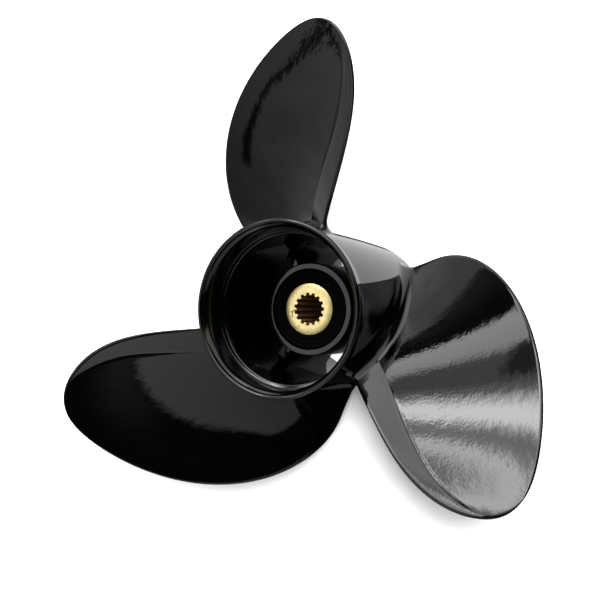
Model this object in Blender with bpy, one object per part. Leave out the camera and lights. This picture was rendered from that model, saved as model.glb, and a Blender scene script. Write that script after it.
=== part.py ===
# Three-bladed boat propeller with a through-hub exhaust, left-hand helix.
# The shaft axis is Z, the exhaust end is up and blade_1 points along +Y.
# The origin is on the shaft axis at the height of the centre of mass.

import math

import bmesh
import bpy
import numpy as np
from mathutils import Matrix, Vector

# Driving dimensions, in metres and degrees
BLADE_COUNT = 3
TIP_RADIUS = 0.175
HUB_LENGTH = 0.132
FRONT_Z = -0.0652
REAR_Z = FRONT_Z + HUB_LENGTH
GAP = 0.0003

# Outer hub: the barrel narrows towards the front by BARREL_TAPER times the
# square of the distance from the rear end, and the passage wall narrows evenly
BARREL_RADIUS = 0.0500
BARREL_TAPER = 0.27
FRONT_ROUND = 0.0022
LIP_RADIUS = 0.0534
LIP_ROUND = 0.0015
PASSAGE_RADIUS = 0.045
PASSAGE_FRONT_RADIUS = 0.0412
LEDGE_DEPTH = 0.0182
LEDGE_ROUND = 0.0012

# The ledge's shelf goes from its groove to its rounded edge: width beyond the
# passage wall and height above the ledge
SHELF_POINTS = ((0.0022, 0.0010), (0.0018, 0.0))

# The flare begins at FLARE_DEPTH below the rear end; its stations give the
# distance from the rear end, the outer radius and the inner radius
FLARE_DEPTH = 0.016
FLARE_STATIONS = (
    (0.0040, 0.0523, 0.0497),
    (0.0080, 0.0510, 0.0486),
    (0.0120, 0.0503, 0.0478),
)

# Inner hub, ribs, bushing and sleeve
INNER_HUB_RADIUS = 0.0290
BUSHING_RADIUS = 0.0249
SLEEVE_RADIUS = 0.0161
INNER_HUB_REAR_Z = REAR_Z - 0.0455
INNER_HUB_FRONT_Z = FRONT_Z + 0.010
INNER_HUB_ROUND = 0.0008
BUSHING_SINK = 0.0008
BUSHING_CHAMFER = 0.0010
SLEEVE_SINK = 0.0003
SLEEVE_CHAMFER = 0.0006
RIB_THICKNESS = 0.007
RIB_REAR_Z = INNER_HUB_REAR_Z - 0.004
RIB_FRONT_Z = INNER_HUB_FRONT_Z + 0.003
RIB_SHOULDER_RADIUS = 0.0368
RIB_SHOULDER_DROP = 0.011
FIRST_RIB_ANGLE = 114.0
TOOTH_COUNT = 15
TOOTH_ROOT_RADIUS = 0.0102
TOOTH_TIP_RADIUS = 0.0088

# Aft face of a blade: a helix of PITCH that loses PITCH_FALL towards root and
# tip, raked aft, and cambered round its reference angle
BLADE_REFERENCE_ANGLE = 100.0
REFERENCE_FRACTION = 0.65
BLADE_DATUM_Z = REAR_Z - 0.0410
PITCH = 0.3366
PITCH_FALL = 0.039
RAKE_SLOPE = 0.213
RAKE_CURVE = 0.037
CAMBER = 0.141

# Blade thickness
EDGE_THICKNESS = 0.0030
LEADING_ROOT_EDGE = 0.0064
TRAILING_ROOT_EDGE = 0.0046
ROOT_EDGE_REACH = 0.1085
ROOT_THICKNESS = 0.0135
TIP_THICKNESS = 0.0035
THICKNESS_POWER = 1.3
EDGE_ROUND_OFF = 0.35
FILLET_RADIUS = 0.008
FACE_FILLET_AT_EDGE = 0.15
FACE_FILLET_GROWTH = 2.0
TRAILING_FLARE = 0.2
LEADING_FLARE = 0.8
LEADING_SWEEP = 5.0
SWEEP_REACH = 0.020
ROOT_SINK = 0.006
TAPER_REACH = 0.030

# Each station is a fraction of the tip radius with the angles, seen from the
# exhaust end, of the trailing edge and of the leading edge
BLADE_STATIONS = (
    (0.29, 72.0, 148.5),
    (0.38, 70.0, 148.0),
    (0.48, 69.0, 144.0),
    (0.58, 68.5, 137.5),
    (0.68, 69.0, 128.0),
    (0.78, 70.5, 116.5),
    (0.87, 73.0, 105.0),
    (0.945, 76.5, 94.5),
    (0.985, 79.5, 88.5),
)
TIP_ANGLE = 83.5

TURNED_SEGMENTS = 96
CHORD_STEPS = 20
SPAN_STEPS = 22
FILLET_SHARES = (0.0, 0.08, 0.22, 0.48, 1.0)
FILLET_CLEAR = 1.6
LAST_Q = 0.05
CURVE_DEGREE = 4
AXIS = Vector((0.0, 0.0, 1.0))


def clear_scene():
    """Remove every object, so that the part starts from an empty scene."""
    for item in list(bpy.data.objects):
        bpy.data.objects.remove(item, do_unlink=True)


def make_material(name, colour, roughness, metallic=0.0):
    """Return a Principled material of one colour."""
    material = bpy.data.materials.new(name)
    material.use_nodes = True
    shader = material.node_tree.nodes["Principled BSDF"]
    shader.inputs["Base Color"].default_value = (*colour, 1.0)
    shader.inputs["Roughness"].default_value = roughness
    shader.inputs["Metallic"].default_value = metallic
    material.diffuse_color = (*colour, 1.0)
    return material


def add_object(name, shape, material):
    """Turn a bmesh into a named object with outward faces and smooth shading."""
    bmesh.ops.recalc_face_normals(shape, faces=shape.faces)
    mesh = bpy.data.meshes.new(name)
    shape.to_mesh(mesh)
    shape.free()
    mesh.materials.append(material)
    mesh.shade_smooth()
    mesh.set_sharp_from_angle(angle=math.radians(30.0))
    item = bpy.data.objects.new(name, mesh)
    bpy.context.collection.objects.link(item)
    return item


def arc(centre, radius, start, end, steps):
    """Return the points of an arc in the radius and height plane, in degrees."""
    angles = np.radians(np.linspace(start, end, steps + 1))
    return [(centre[0] + radius * math.cos(a), centre[1] + radius * math.sin(a)) for a in angles]


def turn_profile(profile, segments=TURNED_SEGMENTS):
    """Spin a closed profile of (radius, height) points once round Z."""
    shape = bmesh.new()
    corners = [shape.verts.new((radius, 0.0, height)) for radius, height in profile]
    edges = [shape.edges.new((a, b)) for a, b in zip(corners, corners[1:] + corners[:1])]
    bmesh.ops.spin(shape, geom=corners + edges, cent=(0, 0, 0), axis=(0, 0, 1),
                   angle=math.tau, steps=segments, use_merge=True)
    bmesh.ops.remove_doubles(shape, verts=shape.verts, dist=1e-6)
    return shape


def barrel_radius(height):
    """Return the radius of the outside of the barrel at a height."""
    return BARREL_RADIUS - BARREL_TAPER * (REAR_Z - height) ** 2


def passage_radius(height):
    """Return the radius of the passage wall in front of the ledge."""
    share = (REAR_Z - LEDGE_DEPTH - height) / (HUB_LENGTH - LEDGE_DEPTH)
    return PASSAGE_RADIUS + (PASSAGE_FRONT_RADIUS - PASSAGE_RADIUS) * share


def barrel_points(front, rear, steps=8):
    """Return the points of the outside of the barrel between two heights."""
    return [(barrel_radius(height), height) for height in np.linspace(front, rear, steps + 1)]


def make_outer_hub(material):
    """Barrel with a rounded front end, a flared lip and a ledge in its bell."""
    ledge_z = REAR_Z - LEDGE_DEPTH
    corner = barrel_radius(FRONT_Z + FRONT_ROUND) - FRONT_ROUND
    profile = arc((corner, FRONT_Z + FRONT_ROUND), FRONT_ROUND, -90, 0, 3)
    profile += barrel_points(FRONT_Z + FRONT_ROUND, REAR_Z - FLARE_DEPTH)[1:]
    profile += [(outer, REAR_Z - depth) for depth, outer, inner in FLARE_STATIONS[::-1]]
    profile += arc((LIP_RADIUS - LIP_ROUND, REAR_Z - LIP_ROUND), LIP_ROUND, 0, 180, 6)
    profile += [(inner, REAR_Z - depth) for depth, outer, inner in FLARE_STATIONS]
    profile += [(PASSAGE_RADIUS + width, ledge_z + height) for width, height in SHELF_POINTS]
    profile += arc((PASSAGE_RADIUS + LEDGE_ROUND, ledge_z - LEDGE_ROUND), LEDGE_ROUND, 90, 180, 3)
    profile += [(PASSAGE_FRONT_RADIUS, FRONT_Z)]
    return add_object("outer_hub", turn_profile(profile), material)


def make_inner_hub(material):
    """Tube inside the exhaust passage that holds the rubber bushing."""
    corner = (INNER_HUB_RADIUS - INNER_HUB_ROUND, INNER_HUB_REAR_Z - INNER_HUB_ROUND)
    profile = [(BUSHING_RADIUS, INNER_HUB_FRONT_Z), (INNER_HUB_RADIUS, INNER_HUB_FRONT_Z)]
    profile += arc(corner, INNER_HUB_ROUND, 0, 90, 2)
    profile += [(BUSHING_RADIUS, INNER_HUB_REAR_Z)]
    return add_object("inner_hub", turn_profile(profile), material)


def make_rib(number, material):
    """Radial web between the inner hub and the drafted wall of the passage.

    Its rear end is flat beside the inner hub and slopes forward to the wall.
    """
    half = RIB_THICKNESS / 2
    inner = INNER_HUB_RADIUS + GAP
    outline = [(inner, RIB_REAR_Z), (inner, RIB_FRONT_Z)]
    for height in (RIB_FRONT_Z, RIB_REAR_Z - RIB_SHOULDER_DROP):
        outline.append((math.sqrt((passage_radius(height) - GAP) ** 2 - half ** 2), height))
    outline.append((RIB_SHOULDER_RADIUS, RIB_REAR_Z))
    shape = bmesh.new()
    face = shape.faces.new([shape.verts.new((radius, -half, height)) for radius, height in outline])
    grown = bmesh.ops.extrude_face_region(shape, geom=[face])["geom"]
    moved = [item for item in grown if isinstance(item, bmesh.types.BMVert)]
    bmesh.ops.translate(shape, verts=moved, vec=(0.0, RIB_THICKNESS, 0.0))
    angle = math.radians(FIRST_RIB_ANGLE + (number - 1) * 360.0 / BLADE_COUNT)
    bmesh.ops.rotate(shape, verts=shape.verts, matrix=Matrix.Rotation(angle, 3, "Z"))
    return add_object(f"rib_{number}", shape, material)


def make_bushing(material):
    """Rubber ring pressed between the inner hub and the splined sleeve."""
    inner = SLEEVE_RADIUS + GAP
    outer = BUSHING_RADIUS - GAP
    rear = INNER_HUB_REAR_Z - BUSHING_SINK
    front = INNER_HUB_FRONT_Z + BUSHING_SINK
    edge = BUSHING_CHAMFER
    profile = [(inner + edge, front), (outer - edge, front), (outer, front + edge)]
    profile += [(outer, rear - edge), (outer - edge, rear), (inner + edge, rear)]
    profile += [(inner, rear - edge), (inner, front + edge)]
    return add_object("rubber_bushing", turn_profile(profile), material)


def spline_outline():
    """Return the 15-tooth outline of the bore, with one groove towards +X."""
    steps = ((-0.19, TOOTH_ROOT_RADIUS), (0.0, TOOTH_ROOT_RADIUS), (0.19, TOOTH_ROOT_RADIUS),
             (0.34, TOOTH_TIP_RADIUS), (0.50, TOOTH_TIP_RADIUS), (0.66, TOOTH_TIP_RADIUS))
    points = []
    for tooth in range(TOOTH_COUNT):
        for share, radius in steps:
            angle = math.tau * (tooth + share) / TOOTH_COUNT
            points.append((radius * math.cos(angle), radius * math.sin(angle)))
    return points


def make_sleeve(material):
    """Brass sleeve with a chamfered outside and a splined bore."""
    chamfer = SLEEVE_CHAMFER
    rear = INNER_HUB_REAR_Z - SLEEVE_SINK
    front = INNER_HUB_FRONT_Z
    bore = spline_outline()
    count = len(bore)
    shape = bmesh.new()

    def ring(radius, height):
        turns = [math.tau * i / count for i in range(count)]
        return [shape.verts.new((radius * math.cos(a), radius * math.sin(a), height)) for a in turns]

    def bore_ring(height):
        return [shape.verts.new((x, y, height)) for x, y in bore]

    rings = [bore_ring(rear), ring(SLEEVE_RADIUS - chamfer, rear), ring(SLEEVE_RADIUS, rear - chamfer),
             ring(SLEEVE_RADIUS, front + chamfer), ring(SLEEVE_RADIUS - chamfer, front),
             bore_ring(front)]
    for first, second in zip(rings, rings[1:] + rings[:1]):
        for i in range(count):
            j = (i + 1) % count
            shape.faces.new((first[i], first[j], second[j], second[i]))
    return add_object("splined_sleeve", shape, material)


def blade_curves():
    """Fit the middle angle and the half width of the blade to its stations.

    Both are smooth in q, the root of what is left of the radius to the tip,
    so that the outline closes in a round tip.
    """
    q = np.sqrt([1.0 - station[0] for station in BLADE_STATIONS])
    middle = np.array([(station[1] + station[2]) / 2 - TIP_ANGLE for station in BLADE_STATIONS])
    half = np.array([(station[2] - station[1]) / 2 for station in BLADE_STATIONS])
    return np.polyfit(q, middle / q, CURVE_DEGREE), np.polyfit(q, half / q, CURVE_DEGREE)


MIDDLE_CURVE, HALF_CURVE = blade_curves()


def edge_angles(q):
    """Return the trailing and leading edge angles in degrees at a place q."""
    middle = TIP_ANGLE + q * np.polyval(MIDDLE_CURVE, q)
    half = q * np.polyval(HALF_CURVE, q)
    return middle - half, middle + half


def face_point(radius, angle):
    """Return a point of the aft face of blade_1 at a radius and an angle in degrees."""
    share = radius / TIP_RADIUS - REFERENCE_FRACTION
    turn = math.radians(angle - BLADE_REFERENCE_ANGLE)
    rake = TIP_RADIUS * (RAKE_SLOPE * share - RAKE_CURVE * share ** 2)
    pitch = PITCH - PITCH_FALL * share ** 2
    height = BLADE_DATUM_Z + rake - pitch / math.tau * (turn + CAMBER * turn ** 2)
    around = math.radians(angle)
    return Vector((radius * math.cos(around), radius * math.sin(around), height))


def face_normal(radius, angle):
    """Return the outward normal of the aft face, which leans towards +Z."""
    along = face_point(radius, angle + 0.5) - face_point(radius, angle - 0.5)
    out = face_point(radius + 0.0005, angle) - face_point(radius - 0.0005, angle)
    normal = along.cross(out).normalized()
    return normal if normal.z > 0 else -normal


def middle_thickness(radius):
    """Return the blade's greatest thickness at a radius."""
    share = (TIP_RADIUS - radius) / (TIP_RADIUS - BARREL_RADIUS)
    swell = min(max(share, 0.0), 1.0) ** THICKNESS_POWER
    return TIP_THICKNESS + (ROOT_THICKNESS - TIP_THICKNESS) * swell


def edge_depth(radius, share):
    """Return the depth along the shaft of the edge nearest a share of the chord."""
    root_edge = TRAILING_ROOT_EDGE + (LEADING_ROOT_EDGE - TRAILING_ROOT_EDGE) * share
    near = (ROOT_EDGE_REACH - radius) / (ROOT_EDGE_REACH - BARREL_RADIUS)
    return EDGE_THICKNESS + (root_edge - EDGE_THICKNESS) * min(max(near, 0.0), 1.0)


def fillet_swell(rise):
    """Return how much the fillet adds to each face at a rise above the barrel."""
    left = FILLET_RADIUS - min(max(rise, 0.0), FILLET_RADIUS)
    return FILLET_RADIUS - math.sqrt(FILLET_RADIUS ** 2 - left ** 2)


def root_radius(radius, angle):
    """Return a radius that follows the barrel's taper near the root of a blade."""
    drop = BARREL_RADIUS - barrel_radius(face_point(radius, angle).z)
    near = min(max(1.0 - (radius - BARREL_RADIUS) / TAPER_REACH, 0.0), 1.0)
    return radius - drop * near


def blade_section(radius, q):
    """Return the closed loop of points of one section, aft face first.

    Every point keeps the rise above the barrel that the section has.
    """
    outside = max(radius, BARREL_RADIUS)
    swell = fillet_swell(outside - BARREL_RADIUS)
    trailing, leading = edge_angles(q)
    sweep = LEADING_SWEEP * max(1.0 - (outside - BARREL_RADIUS) / SWEEP_REACH, 0.0) ** 2
    trailing -= TRAILING_FLARE * math.degrees(swell / outside)
    leading += LEADING_FLARE * math.degrees(swell / outside) + sweep
    aft = []
    fore = []
    for step in range(CHORD_STEPS + 1):
        share = (1.0 - math.cos(math.pi * step / CHORD_STEPS)) / 2
        angle = trailing + (leading - trailing) * share
        bulge = 4.0 * share * (1.0 - share)
        local = root_radius(outside, angle)
        point = face_point(local, angle)
        normal = face_normal(local, angle)
        edge = edge_depth(outside, share)
        depth = edge + (middle_thickness(outside) / normal.z - edge) * bulge
        round_off = EDGE_ROUND_OFF * edge if step in (0, CHORD_STEPS) else 0.0
        grow = normal * (swell * min(1.0, FACE_FILLET_AT_EDGE + FACE_FILLET_GROWTH * bulge))
        sunk = local - outside + radius
        aft.append(on_radius(point + grow - AXIS * round_off, sunk))
        fore.append(on_radius(point - grow - AXIS * (depth - round_off), sunk))
    return aft + fore[::-1]


def on_radius(point, radius):
    """Move a point straight out or in from the shaft axis to a radius."""
    flat = math.hypot(point.x, point.y)
    return Vector((point.x * radius / flat, point.y * radius / flat, point.z))


def span_places():
    """Return the radius and q of each section from inside the barrel to the tip."""
    root_q = math.sqrt(1.0 - BARREL_RADIUS / TIP_RADIUS)
    places = [(BARREL_RADIUS - ROOT_SINK, root_q)]
    fillet = [BARREL_RADIUS + FILLET_RADIUS * share for share in FILLET_SHARES]
    first_q = math.sqrt(1.0 - (BARREL_RADIUS + FILLET_CLEAR * FILLET_RADIUS) / TIP_RADIUS)
    rest = [TIP_RADIUS * (1.0 - q ** 2) for q in np.linspace(first_q, LAST_Q, SPAN_STEPS)]
    for radius in fillet + rest:
        places.append((radius, math.sqrt(1.0 - radius / TIP_RADIUS)))
    return places


def make_blade(number, material, cutter):
    """Loft one blade through its sections and trim its root to the barrel."""
    shape = bmesh.new()
    loops = []
    for radius, q in span_places():
        loops.append([shape.verts.new(point) for point in blade_section(radius, q)])
    for lower, upper in zip(loops, loops[1:]):
        for i in range(len(lower)):
            j = (i + 1) % len(lower)
            shape.faces.new((lower[i], lower[j], upper[j], upper[i]))
    shape.faces.new(loops[-1])
    close_root(shape, loops[0])
    angle = -math.tau * (number - 1) / BLADE_COUNT
    bmesh.ops.rotate(shape, verts=shape.verts, matrix=Matrix.Rotation(angle, 3, "Z"))
    blade = add_object(f"blade_{number}", shape, material)
    trim = blade.modifiers.new("Trim to barrel", "BOOLEAN")
    trim.operation = "DIFFERENCE"
    trim.solver = "EXACT"
    trim.object = cutter
    return blade


def close_root(shape, loop):
    """Close the end inside the barrel with strips from face to face."""
    half = len(loop) // 2
    for i in range(half - 1):
        shape.faces.new((loop[i], loop[i + 1], loop[-2 - i], loop[-1 - i]))


def make_barrel_cutter():
    """Wire tube, just larger than the barrel, that trims the blade roots."""
    grow = 1.0 / math.cos(math.pi / TURNED_SEGMENTS)
    outside = [((radius + GAP) * grow, height) for radius, height in barrel_points(FRONT_Z, REAR_Z)]
    shape = turn_profile([(INNER_HUB_RADIUS, FRONT_Z)] + outside + [(INNER_HUB_RADIUS, REAR_Z)])
    bmesh.ops.recalc_face_normals(shape, faces=shape.faces)
    mesh = bpy.data.meshes.new("barrel_cutter")
    shape.to_mesh(mesh)
    shape.free()
    cutter = bpy.data.objects.new("barrel_cutter", mesh)
    cutter.hide_render = True
    cutter.display_type = "WIRE"
    bpy.context.collection.objects.link(cutter)
    return cutter


def main():
    """Build the propeller."""
    clear_scene()
    make_outer_hub(make_material("outer_hub", (0.02, 0.02, 0.022), 0.22))
    make_inner_hub(make_material("inner_hub", (0.03, 0.03, 0.032), 0.35))
    for number in range(1, BLADE_COUNT + 1):
        make_rib(number, make_material(f"rib_{number}", (0.03, 0.03, 0.032), 0.35))
    make_bushing(make_material("rubber_bushing", (0.015, 0.015, 0.015), 0.7))
    make_sleeve(make_material("splined_sleeve", (0.83, 0.68, 0.33), 0.35, 1.0))
    cutter = make_barrel_cutter()
    for number in range(1, BLADE_COUNT + 1):
        make_blade(number, make_material(f"blade_{number}", (0.02, 0.02, 0.022), 0.18), cutter)


main()
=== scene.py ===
# Three-bladed boat propeller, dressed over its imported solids.
# Metres; the shaft axis is Z, the exhaust end is up and the first blade points along +Y.

import math

import bmesh
import bpy
import numpy as np
from bpy.props import FloatProperty, FloatVectorProperty, IntProperty, PointerProperty
from mathutils import Matrix, Vector


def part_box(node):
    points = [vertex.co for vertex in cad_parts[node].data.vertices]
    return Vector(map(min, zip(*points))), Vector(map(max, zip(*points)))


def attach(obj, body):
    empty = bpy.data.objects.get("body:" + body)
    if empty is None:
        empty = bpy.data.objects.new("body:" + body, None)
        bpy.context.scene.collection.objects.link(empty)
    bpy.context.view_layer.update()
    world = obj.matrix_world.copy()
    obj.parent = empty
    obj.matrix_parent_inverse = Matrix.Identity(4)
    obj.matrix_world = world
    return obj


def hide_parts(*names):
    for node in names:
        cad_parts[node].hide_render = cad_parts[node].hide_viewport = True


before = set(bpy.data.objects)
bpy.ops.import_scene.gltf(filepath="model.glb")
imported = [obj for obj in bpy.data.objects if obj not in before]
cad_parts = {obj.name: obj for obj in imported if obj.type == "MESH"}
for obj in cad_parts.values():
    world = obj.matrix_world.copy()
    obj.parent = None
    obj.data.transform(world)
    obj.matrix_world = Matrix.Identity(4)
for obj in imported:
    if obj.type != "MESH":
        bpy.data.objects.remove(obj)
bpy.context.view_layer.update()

bl_info = {
    "name": "Boat Propeller",
    "version": (1, 0, 0),
    "blender": (4, 5, 0),
    "location": "3D View > Sidebar > Propeller",
    "description": "Builds a painted three-bladed boat propeller and its studio stage",
    "category": "Add Mesh",
}

# Heights and radii of the solids
REAR_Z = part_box("outer_hub")[1].z
FRONT_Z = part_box("outer_hub")[0].z
LIP_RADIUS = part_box("outer_hub")[1].x
TUBE_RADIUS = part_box("inner_hub")[1].x
TUBE_REAR_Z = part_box("inner_hub")[1].z
TUBE_FRONT_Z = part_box("inner_hub")[0].z
RUBBER_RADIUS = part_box("rubber_bushing")[1].x
RUBBER_REAR_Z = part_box("rubber_bushing")[1].z
SLEEVE_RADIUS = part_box("splined_sleeve")[1].x
SLEEVE_REAR_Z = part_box("splined_sleeve")[1].z
SLEEVE_FRONT_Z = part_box("splined_sleeve")[0].z
RIB_REAR_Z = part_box("rib_1")[1].z
RIB_FRONT_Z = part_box("rib_1")[0].z

BLADE_COUNT = 3
TOOTH_COUNT = 15


class HubSizes(bpy.types.PropertyGroup):
    """Sizes of the painted hub casting."""

    barrel_radius: FloatProperty(
        name="Barrel Radius", description="Radius of the barrel behind its flare",
        default=0.0500, unit="LENGTH", precision=4)
    barrel_taper: FloatProperty(
        name="Barrel Taper",
        description="Loss of radius for the square of the distance from the rear end",
        default=0.27, precision=3)
    passage_radius: FloatProperty(
        name="Passage Radius", description="Radius of the exhaust passage at its ledge",
        default=0.0450, unit="LENGTH", precision=4)
    passage_front_radius: FloatProperty(
        name="Front Passage Radius", description="Radius of the exhaust passage at the front end",
        default=0.0412, unit="LENGTH", precision=4)
    ledge_depth: FloatProperty(
        name="Ledge Depth", description="Depth of the ledge below the rear rim",
        default=0.0182, unit="LENGTH", precision=4)
    lip_round: FloatProperty(
        name="Lip Rounding", description="Radius of the rounded rear rim",
        default=0.0015, unit="LENGTH", precision=4)
    rib_thickness: FloatProperty(
        name="Rib Thickness", description="Thickness of the three webs in the passage",
        default=0.0070, unit="LENGTH", precision=4)
    first_rib_angle: FloatProperty(
        name="First Rib Angle", description="Angle of the first web from the X axis",
        default=math.radians(114.0), unit="ROTATION")
    rib_shoulder: FloatProperty(
        name="Rib Shoulder", description="Radius where the rear end of a web starts to slope",
        default=0.0368, unit="LENGTH", precision=4)
    rib_drop: FloatProperty(
        name="Rib Drop", description="How far the rear end of a web slopes forward at the wall",
        default=0.0110, unit="LENGTH", precision=4)
    segments: IntProperty(
        name="Segments", description="Steps in one turn of the hub", default=192, min=24)


class BladeSizes(bpy.types.PropertyGroup):
    """Sizes of one blade."""

    tip_radius: FloatProperty(
        name="Tip Radius", description="Radius of the blade tips",
        default=0.175, unit="LENGTH", precision=4)
    datum_depth: FloatProperty(
        name="Datum Depth", description="Depth of the blade's reference point below the rear rim",
        default=0.0410, unit="LENGTH", precision=4)
    pitch: FloatProperty(
        name="Pitch", description="Travel of the helix in one turn",
        default=0.3366, unit="LENGTH", precision=4)
    pitch_fall: FloatProperty(
        name="Pitch Fall", description="Pitch that the root and the tip lose",
        default=0.039, unit="LENGTH", precision=4)
    rake_slope: FloatProperty(
        name="Rake Slope", description="Rise towards the rear for each unit of radius",
        default=0.213, precision=3)
    rake_curve: FloatProperty(
        name="Rake Curve", description="Loss of rake with the square of the radius",
        default=0.037, precision=3)
    camber: FloatProperty(
        name="Camber", description="Bend of the helix round the reference angle",
        default=0.141, precision=3)
    edge_thickness: FloatProperty(
        name="Edge Thickness", description="Thickness of the blade's edges away from the hub",
        default=0.0030, unit="LENGTH", precision=4)
    root_thickness: FloatProperty(
        name="Root Thickness", description="Greatest thickness of the blade at the hub",
        default=0.0135, unit="LENGTH", precision=4)
    tip_thickness: FloatProperty(
        name="Tip Thickness", description="Greatest thickness of the blade at its tip",
        default=0.0035, unit="LENGTH", precision=4)
    corner_stretch: FloatProperty(
        name="Corner Stretch", description="Width of the rounded edge over its depth",
        min=1.0, max=3.0, default=2.2)
    corner_round: FloatProperty(
        name="Corner Rounding", description="Radius of the corners between the faces and the edges",
        default=0.0014, unit="LENGTH", precision=4)
    fillet_radius: FloatProperty(
        name="Fillet Radius", description="Radius of the fillet between the blade and the barrel",
        default=0.0080, unit="LENGTH", precision=4)
    root_sweep: FloatProperty(
        name="Root Sweep",
        description="Forward sweep of the leading edge where it meets the barrel",
        default=math.radians(5.0), unit="ROTATION")
    cup_width: FloatProperty(
        name="Cup Width", description="Width of the cupped strip along the trailing edge",
        default=0.0150, unit="LENGTH", precision=4)
    cup_dip: FloatProperty(
        name="Cup Dip", description="Depth of the crease where the cupped strip begins",
        default=0.0010, unit="LENGTH", precision=4)
    crease_depth: FloatProperty(
        name="Crease Depth", description="Depth of the fine line along the cupped strip",
        default=0.00022, unit="LENGTH", precision=5)
    crease_width: FloatProperty(
        name="Crease Width", description="Half width of the fine line along the cupped strip",
        default=0.0007, unit="LENGTH", precision=4)


class Finishes(bpy.types.PropertyGroup):
    """Colours of the paint, the rubber, the brass and the stage."""

    paint: FloatVectorProperty(
        name="Paint", description="Colour of the gloss paint", subtype="COLOR",
        size=3, min=0.0, max=1.0, default=(0.0010, 0.0010, 0.0012))
    rubber: FloatVectorProperty(
        name="Rubber", description="Colour of the bushing", subtype="COLOR",
        size=3, min=0.0, max=1.0, default=(0.0008, 0.0008, 0.0010))
    brass: FloatVectorProperty(
        name="Brass", description="Colour of the sleeve", subtype="COLOR",
        size=3, min=0.0, max=1.0, default=(0.94, 0.83, 0.45))
    floor: FloatVectorProperty(
        name="Floor", description="Colour of the floor", subtype="COLOR",
        size=3, min=0.0, max=1.0, default=(0.90, 0.90, 0.90))


class StageSizes(bpy.types.PropertyGroup):
    """Camera and lights."""

    focal_length: FloatProperty(
        name="Focal Length", description="Focal length on a sensor 36 mm wide, in millimetres",
        default=67.17)
    camera_side: FloatProperty(
        name="Camera Side", description="Angle of the view from the shaft axis, to the side",
        default=math.radians(-26.142), unit="ROTATION")
    camera_rise: FloatProperty(
        name="Camera Rise", description="Angle of the view from the shaft axis, up or down",
        default=math.radians(-3.405), unit="ROTATION")
    camera_place: FloatVectorProperty(
        name="Camera Place",
        description="Camera position along its own right, up and back axes, from the rear end",
        size=3, unit="LENGTH", default=(0.014543, 0.035646, 0.65448))
    key_power: FloatProperty(
        name="Key Power", description="Power of the light that casts the shadows, in watts",
        default=48.0)
    camera_shift: FloatProperty(
        name="Camera Shift", description="Vertical shift of the frame, in frame widths",
        default=-0.087)


# Blade stations: fraction of the tip radius, trailing and leading edge angles in degrees
BLADE_STATIONS = (
    (0.29, 72.0, 148.5),
    (0.38, 70.0, 148.0),
    (0.48, 69.0, 144.0),
    (0.58, 68.5, 137.5),
    (0.68, 69.0, 128.0),
    (0.78, 70.5, 116.5),
    (0.87, 73.0, 105.0),
    (0.945, 76.5, 94.5),
    (0.985, 79.5, 88.5),
)
TIP_ANGLE = 83.5
REFERENCE_ANGLE = 100.0
REFERENCE_FRACTION = 0.65

# Rear end of the hub, as (radius, depth below the rear rim), outside and inside the lip
FLARE_START = 0.0125
FLARE = ((0.0504, 0.0112), (0.0510, 0.0082), (0.0514, 0.0072), (0.0522, 0.0044),
         (LIP_RADIUS - 0.0003, 0.0030))
BELL_WALL = ((0.0493, 0.0034), (0.0487, 0.0041), (0.0484, 0.0047), (0.0483, 0.0055),
             (0.0481, 0.0085), (0.0478, 0.0130))
LIP_FOOT = (0.0001, 0.0024)
# Roundings of the hub and the tube; the ledge's corner is given from the ledge's edge
FRONT_ROUND = 0.0022
LEDGE_ROUND = 0.0012
LEDGE_CORNER = (0.0020, 0.0010)
LEDGE_CORNER_ROUND = 0.0006
TUBE_FRONT_ROUND = 0.0008
TUBE_REAR_ROUND = 0.0009
TUBE_BORE_CHAMFER = 0.0006
# Gaps and overlaps between the pieces
TUBE_BORE_GAP = 0.0002
RIB_INTO_TUBE = 0.0010
RIB_BELOW_LEDGE = 0.0008
RIB_BEVEL = 0.0010

# Cupped strip: fraction of the tip radius where it ends, how fast it narrows, least width
STRIP_END = 0.985
STRIP_RUN = 0.4
STRIP_POWER = 0.75
STRIP_LEAST = 0.0015
# Dip beside the crease, and where the fine line fades out by width and by radius
DIP_POWER = 1.7
DIP_REACH = 1.8
LINE_LEAST = 0.004
LINE_START = 0.074
LINE_FADE = 0.018
# Thickness near the hub: power of the swell, radius where the edges thin, edges at the root
SWELL_POWER = 1.3
THICK_EDGE_RADIUS = 0.1085
ROOT_EDGES = (0.0046, 0.0018)
# Steps round a section and along a blade
CORNER_STEPS = 7
STRIP_STEPS = 8
LINE_STEPS = 8
FACE_STEPS = 48
FILLET_STEPS = 12
SPAN_STEPS = 75
# Limits of the corner and the strip as shares of the chord, and of the strip to the corner
CORNER_LIMIT = 0.2
STRIP_LIMIT = 0.35
STRIP_OVER_CORNER = 1.3
# Run of the root's sweep, depth of the root inside the barrel, run of its taper, end of the tip
SWEEP_RUN = 0.020
ROOT_SINK = 0.0012
TAPER_RUN = 0.030
TIP_LEFT = 0.03

# One tooth of the spline, as (share of the tooth's turn, radius)
TOOTH_OUTLINE = (
    (-0.22, 0.0102), (-0.08, 0.01025), (0.08, 0.01025), (0.22, 0.0102),
    (0.33, 0.0089), (0.43, 0.0088), (0.57, 0.0088), (0.67, 0.0089),
)
SLEEVE_FRONT_CHAMFER = 0.0005
SLEEVE_REAR_CHAMFER = 0.0004
SLEEVE_REAR_ROUND = 0.00012
BORE_MOUTH_RADIUS = 0.0112
BORE_MOUTH_DEPTH = 0.0003

# Moulded rubber: overlap with its neighbours, roundings and the two pressed rings
RUBBER_FIT = 0.0001
RUBBER_FRONT_INSET = 0.0008
RUBBER_OUTER_ROUND = 0.0010
RUBBER_INNER_ROUND = 0.0012
RUBBER_RINGS = (0.0222, 0.0196)
RING_HALF_WIDTH = 0.0005
RING_DEPTH = 0.0002
RUBBER_SEGMENTS = 144

MERGE_DISTANCE = 1e-6
NEARLY = 1e-4


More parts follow.
